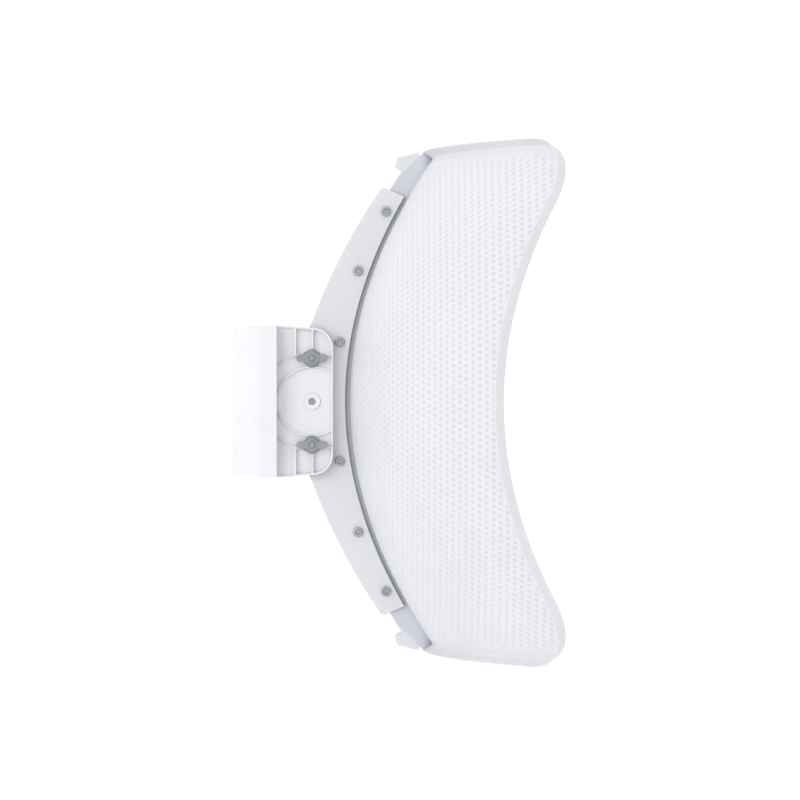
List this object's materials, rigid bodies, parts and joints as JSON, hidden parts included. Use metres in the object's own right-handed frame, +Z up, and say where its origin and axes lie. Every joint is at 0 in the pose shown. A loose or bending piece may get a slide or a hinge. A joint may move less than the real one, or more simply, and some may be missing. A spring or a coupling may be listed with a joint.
{
  "type": "outdoor wireless bridge",
  "caption": "Pole-mounted outdoor wireless bridge: dimpled parabolic mirror in two wings on a spine, tilting pole bracket, radio feed on the beam axis.",
  "frame": {"origin": "on the axis of the pole that the bracket's cradle seats, at the bracket's mid-height", "axes": "+X along the beam at zero elevation, +Y across the two wings to the left seen from behind, +Z up along the pole"},
  "size_m": [0.2666, 0.5474, 0.4136],
  "materials": {
    "mirror_paint": "white powder coat, fine satin texture",
    "spine_paint": "light grey powder coat, satin",
    "bracket_plastic": "white UV-stable moulded plastic, fine spark texture",
    "feed_plastic": "white UV-stable moulded plastic, satin",
    "radome_plastic": "light grey moulded plastic, satin",
    "zinc_steel": "zinc-plated steel, slightly dulled",
    "stainless": "stainless steel, turned",
    "rubber_seal": "black silicone rubber",
    "circuit_board": "green solder resist",
    "shield_metal": "tinned pressed shield",
    "jack_metal": "nickel-plated shell",
    "contact_gold": "gold-plated spring contacts",
    "switch_plastic": "black plastic",
    "clear_guide": "clear moulded light guide"
  },
  "bodies": {
    "bracket": {"pole_bracket": "bracket_plastic", "pivot_pin": "zinc_steel", "tilt_bolts": "zinc_steel", "tilt_washers": "zinc_steel"},
    "dish": {"right_wing": "mirror_paint", "left_wing": "mirror_paint", "spine_channel": "spine_paint", "right_side_plate": "spine_paint", "left_side_plate": "spine_paint", "right_spine_screws": "stainless", "left_spine_screws": "stainless", "right_spine_nuts": "stainless", "left_spine_nuts": "stainless", "feed_hub": "feed_plastic", "hub_screws": "stainless", "hub_nuts": "stainless", "feed_base": "feed_plastic", "feed_shell_upper": "feed_plastic", "feed_shell_lower": "feed_plastic", "feed_nose": "radome_plastic", "nose_ring": "rubber_seal", "sub_reflector": "shield_metal", "antenna_board": "circuit_board", "radio_board": "circuit_board", "rf_shield": "shield_metal", "ethernet_jack": "jack_metal", "jack_contacts": "contact_gold", "reset_switch": "switch_plastic", "light_guide": "clear_guide", "door_pin": "stainless", "port_gasket": "rubber_seal", "cable_grommet": "rubber_seal", "latch_pin": "stainless", "latch_spring": "stainless"},
    "upper_nut": {"upper_tilt_nut": "zinc_steel"},
    "lower_nut": {"lower_tilt_nut": "zinc_steel"},
    "door": {"port_door": "feed_plastic"},
    "reset": {"reset_button": "switch_plastic"},
    "latch": {"release_latch": "feed_plastic"}
  },
  "joints": [
    {"name": "elevation", "type": "hinge", "parent": "bracket", "child": "dish", "pos_m": [0.0732, 0, 0], "axis": [0, -1, 0], "range_deg": [-16, 16]},
    {"name": "upper_nut_turn", "type": "hinge", "parent": "bracket", "child": "upper_nut", "pos_m": [0.0732, 0, 0.0357], "axis": [0, -1, 0], "continuous": true},
    {"name": "lower_nut_turn", "type": "hinge", "parent": "bracket", "child": "lower_nut", "pos_m": [0.0732, 0, -0.0357], "axis": [0, -1, 0], "continuous": true},
    {"name": "port_door_swing", "type": "hinge", "parent": "dish", "child": "door", "pos_m": [0.1443, 0, -0.0283], "axis": [0, -1, 0], "range_deg": [0, 105]},
    {"name": "reset_press", "type": "slide", "parent": "dish", "child": "reset", "axis": [0, 0, 1], "range_m": [0, 0.0008], "stiffness_N_per_m": 800},
    {"name": "latch_press", "type": "hinge", "parent": "dish", "child": "latch", "pos_m": [0.1381, 0, 0.0262], "axis": [0, -1, 0], "range_deg": [0, 3], "stiffness_Nm_per_rad": 0.5, "deforming": ["latch_spring"]}
  ]
}
